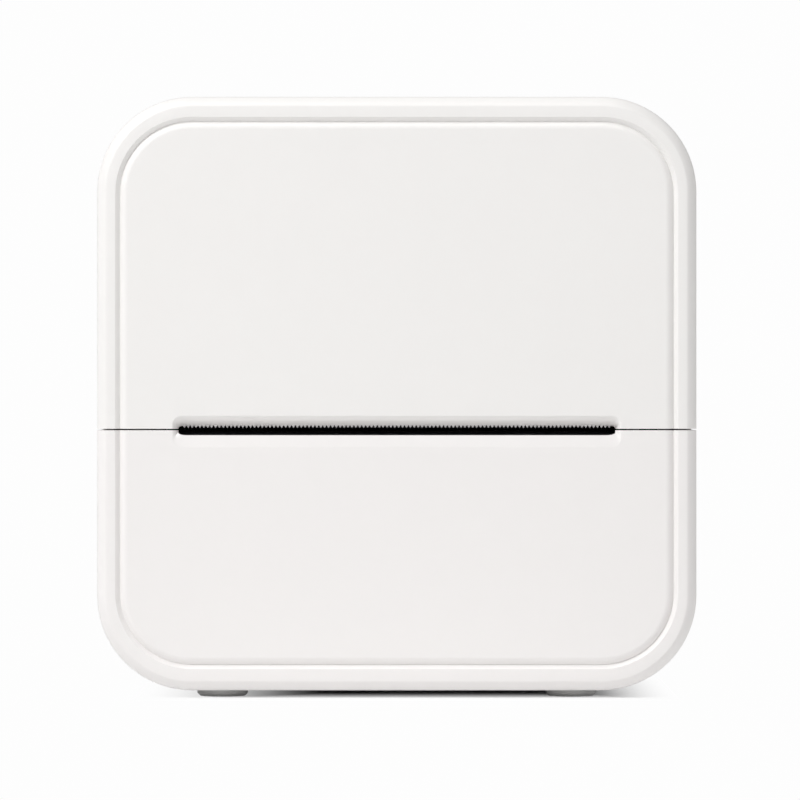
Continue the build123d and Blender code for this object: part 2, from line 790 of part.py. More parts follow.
with BuildPart() as reduction_gear:
    with BuildSketch(on_side(-gear_out)):
        with BuildLine():
            Polyline(*gear_points(small_teeth, drive_lean + 180, gear_y, gear_z), close=True)
        make_face()
    extrude(amount=gear_face)
    with BuildSketch(on_side(-large_out)):
        with BuildLine():
            Polyline(*gear_points(large_teeth, motor_lean, gear_y, gear_z), close=True)
        make_face()
    extrude(amount=large_face)
    with BuildSketch(on_side(-large_in - 0.1)):
        with Locations((gear_y, gear_z)):
            Circle(stud_r + 1.2)
    extrude(amount=large_in - plate_out - 0.6)
    with BuildSketch(on_side(-large_out)):
        with Locations((gear_y, gear_z)):
            Circle(stud_r + journal_clearance)
    extrude(amount=large_out - plate_out, mode=Mode.SUBTRACT)
    # Three round lightening holes in the large wheel
    with BuildSketch(on_side(-large_out)):
        with Locations((gear_y, gear_z)):
            with PolarLocations(module * large_teeth / 3.1, 6):
                Circle(1.6)
    extrude(amount=large_face, mode=Mode.SUBTRACT)
reduction_gear.part.label = "reduction_gear"
export_step(reduction_gear.part, "parts/reduction_gear.step")

with BuildPart() as motor_pinion:
    with BuildSketch(on_side(-large_out)):
        with BuildLine():
            pinion_tooth = motor_lean + 180 + 180 / pinion_teeth
            Polyline(*gear_points(pinion_teeth, pinion_tooth, motor_y, motor_z), close=True)
        make_face()
        with Locations((motor_y, motor_z)):
            Circle(motor_shaft_r + 0.01, mode=Mode.SUBTRACT)
    extrude(amount=large_face + 0.5)
motor_pinion.part.label = "motor_pinion"
export_step(motor_pinion.part, "parts/motor_pinion.step")

with BuildPart() as motor_shaft:
    with BuildSketch(on_side(-large_out)):
        with Locations((motor_y, motor_z)):
            Circle(motor_shaft_r)
    extrude(amount=large_out - plate_in + motor_l * 0.4)
motor_shaft.part.label = "motor_shaft"
export_step(motor_shaft.part, "parts/motor_shaft.step")

# Motor can on the inside of the left plate, with two screws through the plate
motor_screw_r = 0.8
motor_screw_at = 4.3
with BuildPart() as motor_can:
    with BuildSketch(on_side(-plate_in)):
        with Locations((motor_y, motor_z)):
            Circle(motor_r)
            Circle(motor_shaft_r + 0.1, mode=Mode.SUBTRACT)
            with PolarLocations(motor_screw_at, 2, start_angle=motor_lean + 90):
                Circle(motor_screw_r + 0.05, mode=Mode.SUBTRACT)
    extrude(amount=motor_l)
    fillet(motor_can.faces().sort_by(Axis.X)[-1].outer_wire().edges(), 0.6)
motor_can.part.label = "motor_can"
export_step(motor_can.part, "parts/motor_can.step")

with BuildPart() as motor_screws:
    with BuildSketch(on_side(-plate_out)):
        with Locations((motor_y, motor_z)):
            with PolarLocations(motor_screw_at, 2, start_angle=motor_lean + 90):
                Circle(1.3)
    extrude(amount=-0.6)
    with BuildSketch(on_side(-plate_out)):
        with Locations((motor_y, motor_z)):
            with PolarLocations(motor_screw_at, 2, start_angle=motor_lean + 90):
                Circle(motor_screw_r)
    extrude(amount=plate_t + 2.5)
motor_screws.part.label = "motor_screws"
export_step(motor_screws.part, "parts/motor_screws.step")

# Steel frame: a floor on the posts and two side plates with open notches for the bushes
notch_r = bush_r + notch_clearance
rise = radians(notch_rise)
notch_top = (platen_y + notch_r * sin(rise), platen_z + notch_r * cos(rise))
reach = platen_y - plate_front + 4.0
with BuildPart() as mechanism_frame:
    with BuildSketch(Plane.XY.offset(plate_floor_z)):
        with Locations((0, plate_front)):
            Rectangle(2 * plate_out, floor_back - plate_front, align=(Align.CENTER, Align.MIN))
        with Locations((-post_x, post_y), (post_x, post_y)):
            Circle(small_screw_r + 0.15, mode=Mode.SUBTRACT)
        with Locations((0, (plate_front + floor_back) / 2)):
            SlotOverall(16, 4, mode=Mode.SUBTRACT)
    extrude(amount=plate_t)
    for side in (-1, 1):
        with BuildSketch(on_side(side * plate_in)) as side_plate:
            with BuildLine():
                Polyline(
                    (plate_front, plate_floor_z),
                    (plate_back, plate_floor_z),
                    (plate_back, plate_top - 7.5),
                    (plate_back - 5.5, plate_top),
                    (plate_front, plate_top),
                    close=True,
                )
            make_face()
            fillet(side_plate.vertices().group_by(Axis.Y)[-1].sort_by(Axis.X)[-1:], 2.0)
            if side < 0:
                with Locations((motor_y, motor_z)):
                    Circle(motor_r + 1.4)
            with Locations((platen_y, platen_z)):
                Circle(notch_r, mode=Mode.SUBTRACT)
            with BuildLine():
                Polyline(
                    (platen_y, platen_z - notch_r),
                    (platen_y - reach, platen_z - notch_r),
                    (platen_y - reach, notch_top[1] + (reach + notch_top[0] - platen_y) * tan(rise)),
                    notch_top,
                    (platen_y, platen_z),
                    close=True,
                )
            make_face(mode=Mode.SUBTRACT)
            with Locations((head_pivot_y, head_pivot_z)):
                Circle(head_pin_r + 0.01, mode=Mode.SUBTRACT)
            if side < 0:
                with Locations((gear_y, gear_z)):
                    Circle(stud_r + 0.01, mode=Mode.SUBTRACT)
                with Locations((motor_y, motor_z)):
                    Circle(motor_shaft_r + 0.5, mode=Mode.SUBTRACT)
                    with PolarLocations(motor_screw_at, 2, start_angle=motor_lean + 90):
                        Circle(motor_screw_r + 0.1, mode=Mode.SUBTRACT)
        extrude(amount=side * plate_t)
mechanism_frame.part.label = "mechanism_frame"
export_step(mechanism_frame.part, "parts/mechanism_frame.step")

with BuildPart() as mechanism_screws:
    with BuildSketch(Plane.XY.offset(plate_floor_z + plate_t)):
        with Locations((-post_x, post_y), (post_x, post_y)):
            Circle(small_head_r)
    extrude(amount=small_head_t)
    with BuildSketch(Plane.XY.offset(plate_floor_z + plate_t)):
        with Locations((-post_x, post_y), (post_x, post_y)):
            Circle(small_screw_r)
    extrude(amount=-7.0)
mechanism_screws.part.label = "mechanism_screws"
export_step(mechanism_screws.part, "parts/mechanism_screws.step")

# Stud of the reduction gear, riveted into the left plate, and its clip
clip_t = 0.2
with BuildPart() as gear_stud:
    with BuildSketch(on_side(-plate_in)):
        with Locations((gear_y, gear_z)):
            Circle(stud_r)
    extrude(amount=-(large_out + 0.4 - plate_in))
    with BuildSketch(on_side(-plate_out)):
        with Locations((gear_y, gear_z)):
            Circle(stud_r + 0.9)
    extrude(amount=-0.3)
    with BuildSketch(on_side(-large_out - 0.08)):
        with Locations((gear_y, gear_z)):
            Circle(stud_r + 1)
            Circle(stud_r - 0.35, mode=Mode.SUBTRACT)
    extrude(amount=-clip_t, mode=Mode.SUBTRACT)
gear_stud.part.label = "gear_stud"
export_step(gear_stud.part, "parts/gear_stud.step")

with BuildPart() as gear_clip:
    with BuildSketch(on_side(-large_out - 0.09)):
        with Locations((gear_y, gear_z)):
            Circle(stud_r + 0.9)
            Circle(stud_r - 0.33, mode=Mode.SUBTRACT)
        with Locations((gear_y, gear_z + stud_r)):
            Rectangle(1.5, 2 * stud_r, mode=Mode.SUBTRACT)
    extrude(amount=-(clip_t - 0.02))
gear_clip.part.label = "gear_clip"
export_step(gear_clip.part, "parts/gear_clip.step")

# Print head: an aluminium block that rocks on a pin, with the ceramic strip on top
with BuildPart() as head_heat_sink:
    with BuildSketch(on_side(-sink_half_w)):
        with Locations((head_front, sink_bottom)):
            Rectangle(head_back - head_front, sink_t, align=(Align.MIN, Align.MIN))
        with Locations((head_pivot_y, head_pivot_z)):
            Circle(lug_r)
        with BuildLine():
            Polyline(
                (head_pivot_y - lug_r, head_pivot_z),
                (head_pivot_y + lug_r, head_pivot_z),
                (head_pivot_y + lug_r * 0.7, sink_bottom + 0.2),
                (head_pivot_y - lug_r * 1.6, sink_bottom + 0.2),
                close=True,
            )
        make_face()
    extrude(amount=2 * sink_half_w)
    # The lugs stay at the ends only
    with BuildSketch(on_side(-sink_half_w + lug_t)):
        with Locations((head_pivot_y, sink_bottom)):
            Rectangle(3 * lug_r + 4, 2 * lug_r + 2, align=(Align.CENTER, Align.MAX))
        with Locations((head_pivot_y, head_pivot_z)):
            Circle(head_pin_r + 0.4)
    extrude(amount=2 * (sink_half_w - lug_t), mode=Mode.SUBTRACT)
    with BuildSketch(on_side(-sink_half_w)):
        with Locations((head_pivot_y, head_pivot_z)):
            Circle(head_pin_r + pin_clearance)
    extrude(amount=2 * sink_half_w, mode=Mode.SUBTRACT)
    # Cooling grooves along the front of the block
    with BuildSketch(on_side(-sink_half_w)):
        with Locations((head_front, sink_bottom + sink_t * 0.3), (head_front, sink_bottom + sink_t * 0.65)):
            Rectangle(1.6, 0.5)
    extrude(amount=2 * sink_half_w, mode=Mode.SUBTRACT)
head_heat_sink.part.label = "head_heat_sink"
export_step(head_heat_sink.part, "parts/head_heat_sink.step")

with BuildPart() as head_ceramic:
    with BuildSketch(Plane.XY.offset(sink_top)):
        with Locations((0, head_front)):
            Rectangle(2 * platen_half_l, ceramic_depth, align=(Align.CENTER, Align.MIN))
    extrude(amount=ceramic_t)
    chamfer(head_ceramic.edges().group_by(Axis.Z)[-1].sort_by(Axis.Y)[0], 0.3)
head_ceramic.part.label = "head_ceramic"
export_step(head_ceramic.part, "parts/head_ceramic.step")

with BuildPart() as head_socket:
    with BuildSketch(Plane.XY.offset(sink_top)):
        with Locations((cell_x, head_back)):
            Rectangle(18, -head_front + head_back - ceramic_depth - 0.2, align=(Align.CENTER, Align.MAX))
    extrude(amount=0.8)
head_socket.part.label = "head_socket"
export_step(head_socket.part, "parts/head_socket.step")

with BuildPart() as head_pin:
    with BuildSketch(on_side(-plate_out - 0.4)):
        with Locations((head_pivot_y, head_pivot_z)):
            Circle(head_pin_r)
    extrude(amount=2 * plate_out + 0.8)
head_pin.part.label = "head_pin"
export_step(head_pin.part, "parts/head_pin.step")

# Leaf springs that press the head against the platen
leaf_low = plate_floor_z + plate_t + spring_t / 2
leaf_high = sink_bottom - spring_t / 2
with BuildPart() as head_springs:
    for x in (-spring_x, spring_x):
        with BuildSketch(on_side(x - spring_w / 2)):
            with BuildLine() as leaf_line:
                FilletPolyline(
                    (platen_y - 3.0, leaf_low),
                    (platen_y + 4.5, leaf_low),
                    (platen_y + 2.5, leaf_high - 1.0),
                    (platen_y, leaf_high),
                    (platen_y - 2.5, leaf_high - 1.0),
                    radius=0.8,
                )
            trace(line_width=spring_t)
        extrude(amount=spring_w)
head_springs.part.label = "head_springs"
export_step(head_springs.part, "parts/head_springs.step")

# Black guide between the head and the lower lip of the slot
with BuildPart() as exit_guide:
    with BuildSketch(on_side(-slot_w / 2 - 0.6)):
        with BuildLine():
            Polyline(
                (face_inside, ledge_top),
                (head_front - 0.4, ledge_top),
                (head_front - 0.4, head_top - 0.5),
                (head_front - 0.7, head_top - 0.2),
                (face_inside, head_top - 0.5),
                close=True,
            )
        make_face()
    extrude(amount=slot_w + 1.2)
exit_guide.part.label = "exit_guide"
export_step(exit_guide.part, "parts/exit_guide.step")

# Optical sensor behind its window
with BuildPart() as paper_sensor:
    with BuildSketch(Plane.XY.offset(head_top + 1.2)):
        with Locations((sensor_x, flange_front + frame_wall)):
            Rectangle(5.0, 2.2, align=(Align.CENTER, Align.MIN))
    extrude(amount=2.6)
paper_sensor.part.label = "paper_sensor"
export_step(paper_sensor.part, "parts/paper_sensor.step")

# Circuit board on its standoffs
with BuildPart() as main_board:
    with BuildSketch(on_front(board_y)) as board_sketch:
        with Locations(((board_left + board_right) / 2, (board_bottom + board_top) / 2)):
            Rectangle(board_right - board_left, board_top - board_bottom)
        fillet(board_sketch.vertices(), 1.0)
        with Locations(*board_screws_at):
            Circle(small_screw_r + 0.2, mode=Mode.SUBTRACT)
    extrude(amount=board_t)
main_board.part.label = "main_board"
export_step(main_board.part, "parts/main_board.step")

with BuildPart() as board_screws:
    with BuildSketch(on_front(board_face)):
        with Locations(*board_screws_at):
            Circle(small_head_r)
    extrude(amount=small_head_t)
    with BuildSketch(on_front(board_face)):
        with Locations(*board_screws_at):
            Circle(small_screw_r)
    extrude(amount=-board_t - board_back_gap + 0.8)
board_screws.part.label = "board_screws"
export_step(board_screws.part, "parts/board_screws.step")

# Chips: centre from the board's lower left corner, then width, height and thickness
chips = [
    (15.0, 11.2, 7.0, 7.0, 1.0),
    (29.0, 14.2, 6.0, 6.0, 1.0),
    (43.0, 11.2, 12.0, 10.0, 1.0),
    (15.0, 4.2, 5.0, 5.0, 2.2),
    (57.0, 5.2, 5.0, 5.0, 2.2),
]
with BuildPart() as board_chips:
    for x, z, chip_w, chip_h, chip_t in chips:
        with BuildSketch(on_front(board_y)):
            with Locations((board_left + x, board_bottom + z)):
                Rectangle(chip_w, chip_h)
        extrude(amount=-chip_t)
board_chips.part.label = "board_chips"
export_step(board_chips.part, "parts/board_chips.step")

# Pouch cell on the two ribs, with a foam pad towards the board
with BuildPart() as battery_cell:
    with BuildSketch(on_front(cell_back)) as cell_sketch:
        with Locations((cell_x, cell_bottom + cell_h / 2)):
            Rectangle(cell_w, cell_h)
        fillet(cell_sketch.vertices(), 1.5)
    extrude(amount=cell_t)
    fillet(battery_cell.edges().group_by(Axis.Y)[0], 1.0)
battery_cell.part.label = "battery_cell"
export_step(battery_cell.part, "parts/battery_cell.step")

with BuildPart() as battery_pad:
    with BuildSketch(on_front(board_face)):
        with Locations((cell_x, cell_bottom + cell_h / 2)):
            Rectangle(cell_w - 14, cell_h - 6)
    extrude(amount=pad_t)
battery_pad.part.label = "battery_pad"
export_step(battery_pad.part, "parts/battery_pad.step")

# Flat cable from the head down behind the battery and under it to its connector
cable_t = 0.3
cable_w = 16.0
socket_z = board_bottom + 1.8
with BuildPart() as cable_socket:
    with BuildSketch(on_front(board_face)):
        with Locations((cell_x, socket_z)):
            Rectangle(cable_w + 2.0, 2.4)
    extrude(amount=1.8)
cable_socket.part.label = "cable_socket"
export_step(cable_socket.part, "parts/cable_socket.step")

with BuildPart() as head_cable:
    with BuildSketch(on_side(cell_x - cable_w / 2)):
        with BuildLine() as cable_line:
            FilletPolyline(
                (head_back + 0.5, sink_top - 1.2),
                (cell_front - 2.0, sink_top - 1.6),
                (cell_front - 2.4, socket_z),
                (board_face - 1.8, socket_z),
                radius=1.6,
            )
        trace(line_width=cable_t)
    extrude(amount=cable_w)
head_cable.part.label = "head_cable"
export_step(head_cable.part, "parts/head_cable.step")

# Charging port: a folded steel shell and its tongue
usb_end = x_side - 0.5
with BuildPart() as usb_shell:
    with BuildSketch(on_side(usb_end)):
        with Locations((edge_y, usb_z)):
            SlotOverall(usb_w, usb_h, rotation=90)
    extrude(amount=-usb_depth)
    with BuildSketch(on_side(usb_end)):
        with Locations((edge_y, usb_z)):
            SlotOverall(usb_w - 0.6, usb_h - 0.6, rotation=90)
    extrude(amount=-usb_depth + 1.0, mode=Mode.SUBTRACT)
usb_shell.part.label = "usb_shell"
export_step(usb_shell.part, "parts/usb_shell.step")

with BuildPart() as usb_tongue:
    with BuildSketch(on_side(usb_end - usb_depth + 1.0)):
        with Locations((edge_y, usb_z)):
            Rectangle(0.7, usb_w * 0.7)
    extrude(amount=usb_depth - 1.7)
usb_tongue.part.label = "usb_tongue"
export_step(usb_tongue.part, "parts/usb_tongue.step")

# Light pipe, with a collar behind the wall, and its lamp on the board
lamp_t = board_face - edge_y
with BuildPart() as status_light:
    with BuildSketch(on_side(x_side)):
        with Locations((edge_y, light_z)):
            Circle(light_r)
    extrude(amount=-(wall + 1.6))
    with BuildSketch(on_side(x_side - wall - 0.1)):
        with Locations((edge_y, light_z)):
            Circle(light_r + 0.8)
    extrude(amount=-0.7)
status_light.part.label = "status_light"
export_step(status_light.part, "parts/status_light.step")

# Button cap, flush with the wall, with a collar that keeps it in and a stem to the switch
cap_back = x_side - wall - button_gap - 0.2
stem_end = cap_back - 1.3
with BuildPart() as power_button:
    with BuildSketch(on_side(x_side)):
        with Locations((edge_y, button_z)):
            Circle(button_r)
    extrude(amount=-(x_side - cap_back))
    with BuildSketch(on_side(cap_back)):
        with Locations((edge_y, button_z)):
            Circle(button_r + 0.7)
    extrude(amount=-0.7)
    with BuildSketch(on_side(cap_back)):
        with Locations((edge_y, button_z)):
            Circle(1.0)
    extrude(amount=-1.3)
    chamfer(power_button.faces().sort_by(Axis.X)[-1].edges(), 0.2)
power_button.part.label = "power_button"
export_step(power_button.part, "parts/power_button.step")

switch_end = stem_end - button_travel - 0.3
with BuildPart() as power_switch:
    with BuildSketch(on_side(switch_end)):
        with Locations((board_face, button_z)):
            Rectangle(3.4, 4.0, align=(Align.MAX, Align.CENTER))
    extrude(amount=-3.4)
    with BuildSketch(on_side(board_right - 0.4)):
        with Locations((board_face, light_z)):
            Rectangle(2.2, 1.6, align=(Align.MAX, Align.CENTER))
    extrude(amount=-1.6)
power_switch.part.label = "power_switch"
export_step(power_switch.part, "parts/power_switch.step")

# Long screws of the housing, two low ones into the front cover, two high ones into the frame
with BuildPart() as housing_screws:
    for places, seat in ((low_screws_at, low_well_floor), (high_screws_at, high_well_floor)):
        with BuildSketch(on_front(seat)):
            with Locations(*places):
                Circle(screw_head_r)
        extrude(amount=-screw_head_t)
        with BuildSketch(on_front(seat)):
            with Locations(*places):
                Circle(screw_r)
        extrude(amount=screw_l)
housing_screws.part.label = "housing_screws"
export_step(housing_screws.part, "parts/housing_screws.step")
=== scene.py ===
# %% [markdown]
# # A small receipt printer, finished for the camera
# The object is a white portable receipt printer: a rounded square body 82 mm wide, split by a
# fine line into a hinged upper cover and a lower cover, with a toothed paper slot in the line.
# The solids of the model, such as its gears, roller and screws, are made elsewhere and loaded
# here as fixed meshes that ride on moving bodies. This lesson gives them a camera, light and
# finishes, and models the three white shells that show most. Every length is in metres, x is
# to the right, y away from the camera and z up.

# %% Load the frame of the printer
import bpy
import bmesh
from math import radians, sin, cos, pi
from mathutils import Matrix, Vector


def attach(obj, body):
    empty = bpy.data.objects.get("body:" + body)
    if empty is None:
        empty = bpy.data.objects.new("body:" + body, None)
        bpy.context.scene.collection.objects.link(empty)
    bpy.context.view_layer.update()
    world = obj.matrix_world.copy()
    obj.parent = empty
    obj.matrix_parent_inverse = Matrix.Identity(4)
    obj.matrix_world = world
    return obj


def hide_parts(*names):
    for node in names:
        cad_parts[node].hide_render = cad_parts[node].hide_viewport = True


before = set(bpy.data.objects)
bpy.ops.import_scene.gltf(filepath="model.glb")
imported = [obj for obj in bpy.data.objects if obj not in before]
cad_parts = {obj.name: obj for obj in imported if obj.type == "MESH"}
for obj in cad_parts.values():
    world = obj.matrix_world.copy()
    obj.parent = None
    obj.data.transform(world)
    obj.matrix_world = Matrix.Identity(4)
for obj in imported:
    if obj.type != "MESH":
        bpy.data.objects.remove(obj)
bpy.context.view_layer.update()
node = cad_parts

# %% [markdown]
# ## The camera
# The photograph was taken straight on, level with the middle of the body and from far away:
# the top and the sides don't show at all. A long lens from 0.7 m gives that view. The lens
# follows from the width that the picture has to hold at the printer's face: 109.5 mm.

# %% Camera straight on the face
view_width = 0.10948
distance = 0.70
face_y = -0.0185
centre_x, centre_z = 0.000445, 0.04073
sensor = 36.0

camera_data = bpy.data.cameras.new("camera")
camera = bpy.data.objects.new("camera", camera_data)
bpy.context.scene.collection.objects.link(camera)
camera.location = (centre_x, face_y - distance, centre_z)
camera.rotation_euler = (radians(90), 0, 0)
camera_data.sensor_width = sensor
camera_data.lens = sensor * distance / view_width
camera_data.clip_start = 0.01
bpy.context.scene.camera = camera
print("lens", round(camera_data.lens, 1), "mm")

# %% [markdown]
# ## Floor, backdrop and light
# The printer stands on a white sweep, a sheet of paper that bends up into a wall far behind
# it, so that no horizon shows. A plane with a separate wall would do as well, but it shows a
# line where they meet. One grid is enough: its rows are laid along the floor, then round the
# bend, then up the wall.


# %% A sweep of white paper
def select_only(piece):
    """Make one object the only selected and the active one."""
    bpy.ops.object.select_all(action="DESELECT")
    piece.select_set(True)
    bpy.context.view_layer.objects.active = piece


bpy.ops.object.select_all(action="DESELECT")
bpy.ops.mesh.primitive_grid_add(x_subdivisions=2, y_subdivisions=60, size=2, location=(0, 0, 0))
sweep = bpy.context.active_object
sweep.name = "sweep"
sweep_front, sweep_length, sweep_half_w = -1.8, 4.4, 2.6
bend_start, bend_radius = 1.30, 0.40
for vertex in sweep.data.vertices:
    along = sweep_front + (vertex.co.y + 1) / 2 * sweep_length
    x = vertex.co.x * sweep_half_w
    if along < bend_start:
        vertex.co = (x, along, 0)
    else:
        turn = min((along - bend_start) / bend_radius, pi / 2)
        rest = max(along - bend_start - bend_radius * pi / 2, 0)
        vertex.co = (
            x,
            bend_start + bend_radius * sin(turn),
            bend_radius * (1 - cos(turn)) + rest,
        )
for face in sweep.data.polygons:
    face.use_smooth = True
print("sweep", 2 * sweep_half_w, "m wide with", len(sweep.data.polygons), "faces")

# %% [markdown]
# The strongest lamp stands above and to the left, because in the photograph the rim is
# brightest at the upper left and each step of the groove that faces right or down is dark.
# A second lamp high above lights the upper rim, a weak one from the right lifts the right
# side, and a large weak one in front evens the face. The powers were fitted lamp by lamp to
# the tones of the photograph.


# %% Lamps
def soft_lamp(name, place, aim, size, power):
    """A square area lamp at a place, turned to face a point."""
    data = bpy.data.lights.new(name, "AREA")
    data.shape = "SQUARE"
    data.size = size
    data.energy = power
    lamp = bpy.data.objects.new(name, data)
    bpy.context.scene.collection.objects.link(lamp)
    lamp.location = place
    lamp.rotation_euler = (Vector(aim) - Vector(place)).to_track_quat("-Z", "Y").to_euler()
    return lamp


middle = (0, 0, 0.04)
soft_lamp("key", (-0.55, -0.55, 0.75), middle, 0.35, 6.0)
soft_lamp("high", (-0.15, -0.35, 1.00), middle, 0.40, 2.75)
soft_lamp("side_fill", (0.95, -0.25, 0.12), middle, 0.50, 1.15)
soft_lamp("front_fill", (0.25, -1.10, 0.35), middle, 0.90, 0.35)

# %% [markdown]
# The world is a pale even sky. It lights the printer with a third of full white, and the
# camera sees it as the same white as the backdrop, so that no edge of the sweep shows.

# %% World
paper_white = (0.985, 0.985, 0.985, 1)
world = bpy.data.worlds.new("white_room")
bpy.context.scene.world = world
world.use_nodes = True
air = world.node_tree
sky = air.nodes["Background"]
sky.inputs["Color"].default_value = (1, 1, 1, 1)
sky.inputs["Strength"].default_value = 0.335
seen_white = air.nodes.new("ShaderNodeBackground")
seen_white.inputs["Color"].default_value = paper_white
air_ray = air.nodes.new("ShaderNodeLightPath")
air_blend = air.nodes.new("ShaderNodeMixShader")
air.links.new(air_ray.outputs["Is Camera Ray"], air_blend.inputs["Fac"])
air.links.new(sky.outputs["Background"], air_blend.inputs[1])
air.links.new(seen_white.outputs["Background"], air_blend.inputs[2])
air.links.new(air_blend.outputs["Shader"], air.nodes["World Output"].inputs["Surface"])
bpy.context.scene.view_settings.view_transform = "Standard"
print("world", world.name, "with", len(air.nodes), "nodes")

# %% [markdown]
# ## Finishes
# Each finish is a small node tree on Object coordinates, so that its grain keeps its real
# size: spark-eroded plastic has grains of about two tenths of a millimetre, brushed steel has
# streaks, and rubber is dull. Image textures would need a UV map for each piece and would
# stretch at the bevels. The helpers below only shorten the wiring.


# %% Helpers for node trees
def new_finish(name, colour, roughness, metallic=0.0, coat=0.0, specular=0.5):
    """A Principled material and its node tree, with Object coordinates ready to use."""
    finish = bpy.data.materials.new(name)
    finish.use_nodes = True
    tree = finish.node_tree
    shader = tree.nodes["Principled BSDF"]
    shader.inputs["Base Color"].default_value = (*colour, 1)
    shader.inputs["Roughness"].default_value = roughness
    shader.inputs["Metallic"].default_value = metallic
    shader.inputs["Coat Weight"].default_value = coat
    shader.inputs["Specular IOR Level"].default_value = specular
    place = tree.nodes.new("ShaderNodeTexCoord")
    return finish, tree, shader, place.outputs["Object"]


def noise(tree, place, scale, detail=2.0, stretch=None):
    """A noise value, with its scale in cycles per metre, stretched along an axis if asked."""
    if stretch:
        mapping = tree.nodes.new("ShaderNodeMapping")
        mapping.inputs["Scale"].default_value = stretch
        tree.links.new(place, mapping.inputs["Vector"])
        place = mapping.outputs["Vector"]
    texture = tree.nodes.new("ShaderNodeTexNoise")
    texture.inputs["Scale"].default_value = scale
    texture.inputs["Detail"].default_value = detail
    tree.links.new(place, texture.inputs["Vector"])
    return texture.outputs["Fac"]


def spread(tree, value, low, high, start=0.3, stop=0.7):
    """Map a noise value to a range."""
    step = tree.nodes.new("ShaderNodeMapRange")
    step.inputs["From Min"].default_value = start
    step.inputs["From Max"].default_value = stop
    step.inputs["To Min"].default_value = low
    step.inputs["To Max"].default_value = high
    tree.links.new(value, step.inputs["Value"])
    return step.outputs["Result"]


def between(tree, value, colour_a, colour_b):
    """Blend two colours by a value."""
    mix = tree.nodes.new("ShaderNodeMix")
    mix.data_type = "RGBA"
    mix.inputs["A"].default_value = (*colour_a, 1)
    mix.inputs["B"].default_value = (*colour_b, 1)
    tree.links.new(value, mix.inputs["Factor"])
    return mix.outputs["Result"]


def bump(tree, shader, value, strength, depth):
    """Grain as a bump, its depth in metres."""
    step = tree.nodes.new("ShaderNodeBump")
    step.inputs["Strength"].default_value = strength
    step.inputs["Distance"].default_value = depth
    tree.links.new(value, step.inputs["Height"])
    tree.links.new(step.outputs["Normal"], shader.inputs["Normal"])


print("node helpers:", noise.__name__, spread.__name__, between.__name__, bump.__name__)


# %% Two kinds of finish
def moulded(name, colour, roughness, grain=4500.0, depth=0.00002, shift=0.02, specular=0.5):
    """Moulded plastic: fine spark-eroded grain, a slow change of tone and of gloss."""
    finish, tree, shader, place = new_finish(name, colour, roughness, specular=specular)
    slow = noise(tree, place, 35.0, 3.0)
    darker = tuple(max(c - shift, 0) for c in colour)
    lighter = tuple(min(c + shift * 0.5, 1) for c in colour)
    tree.links.new(between(tree, slow, darker, lighter), shader.inputs["Base Color"])
    fine = noise(tree, place, grain, 2.0)
    tree.links.new(
        spread(tree, fine, roughness - 0.05, roughness + 0.06), shader.inputs["Roughness"]
    )
    bump(tree, shader, fine, 0.35, depth)
    return finish


def streaked(name, colour, roughness, along=(1, 1, 1), scale=900.0, depth=0.00001):
    """Metal with fine streaks: the noise is squeezed across the streaks."""
    finish, tree, shader, place = new_finish(name, colour, roughness, metallic=1.0)
    lines = noise(tree, place, scale, 3.0, stretch=along)
    tree.links.new(
        spread(tree, lines, roughness - 0.08, roughness + 0.12), shader.inputs["Roughness"]
    )
    dull = tuple(c * 0.86 for c in colour)
    tree.links.new(between(tree, lines, dull, colour), shader.inputs["Base Color"])
    bump(tree, shader, lines, 0.25, depth)
    return finish


print("two kinds of finish:", moulded.__name__, "and", streaked.__name__)

# %% [markdown]
# The two whites differ by a hair, and the difference is painted light. The lower cover is the
# same plastic as the rest, but its white is a little warmer to stand in for the warmer light on
# the lower half of the front. What lies inside isn't in the photograph and has the usual colours
# of
# such a printer: black frame plastic, ivory gears, brown bushes, bare steel, a green board.

# %% The finishes of the printer
shell_white = moulded("shell_white", (0.850, 0.835, 0.820), 0.46, shift=0.008)
# painted light: the shell's white, tinted a little warmer for the light on the lower half
lower_white_painted_warm = moulded("lower_white_painted_warm", (0.856, 0.834, 0.823), 0.46, shift=0.008)
trim_white = moulded("trim_white", (0.66, 0.66, 0.66), 0.40)
black_plastic = moulded("black_plastic", (0.018, 0.018, 0.02), 0.55, shift=0.004, depth=0.00003)
gear_plastic = moulded("gear_plastic", (0.78, 0.76, 0.70), 0.35, grain=2500.0)
bush_plastic = moulded("bush_plastic", (0.35, 0.17, 0.05), 0.38)
foot_rubber = moulded("foot_rubber", (0.66, 0.66, 0.65), 0.70, grain=3000.0, depth=0.00004)
roller_rubber = moulded("roller_rubber", (0.028, 0.028, 0.03), 0.62, grain=6000.0)
sheet_steel = streaked("sheet_steel", (0.60, 0.60, 0.59), 0.34, along=(0.08, 1, 1))
bright_steel = streaked("bright_steel", (0.64, 0.64, 0.63), 0.22, along=(1, 0.2, 0.2))
screw_zinc = streaked("screw_zinc", (0.55, 0.56, 0.58), 0.30)
head_metal = streaked("head_metal", (0.74, 0.75, 0.76), 0.38, along=(0.05, 1, 1))
glaze = moulded("glaze", (0.035, 0.032, 0.030), 0.16, grain=800.0, depth=0.000004)
board_mask = moulded("board_mask", (0.015, 0.11, 0.045), 0.28, grain=1500.0)
cable_film = moulded("cable_film", (0.72, 0.73, 0.74), 0.30, grain=1200.0)
cell_foil = streaked("cell_foil", (0.68, 0.68, 0.68), 0.42, scale=300.0)
pad_foam = moulded("pad_foam", (0.07, 0.07, 0.07), 0.90, grain=2200.0, depth=0.0001)
clear_light = moulded("clear_light", (0.70, 0.74, 0.72), 0.15, grain=900.0, depth=0.000004)

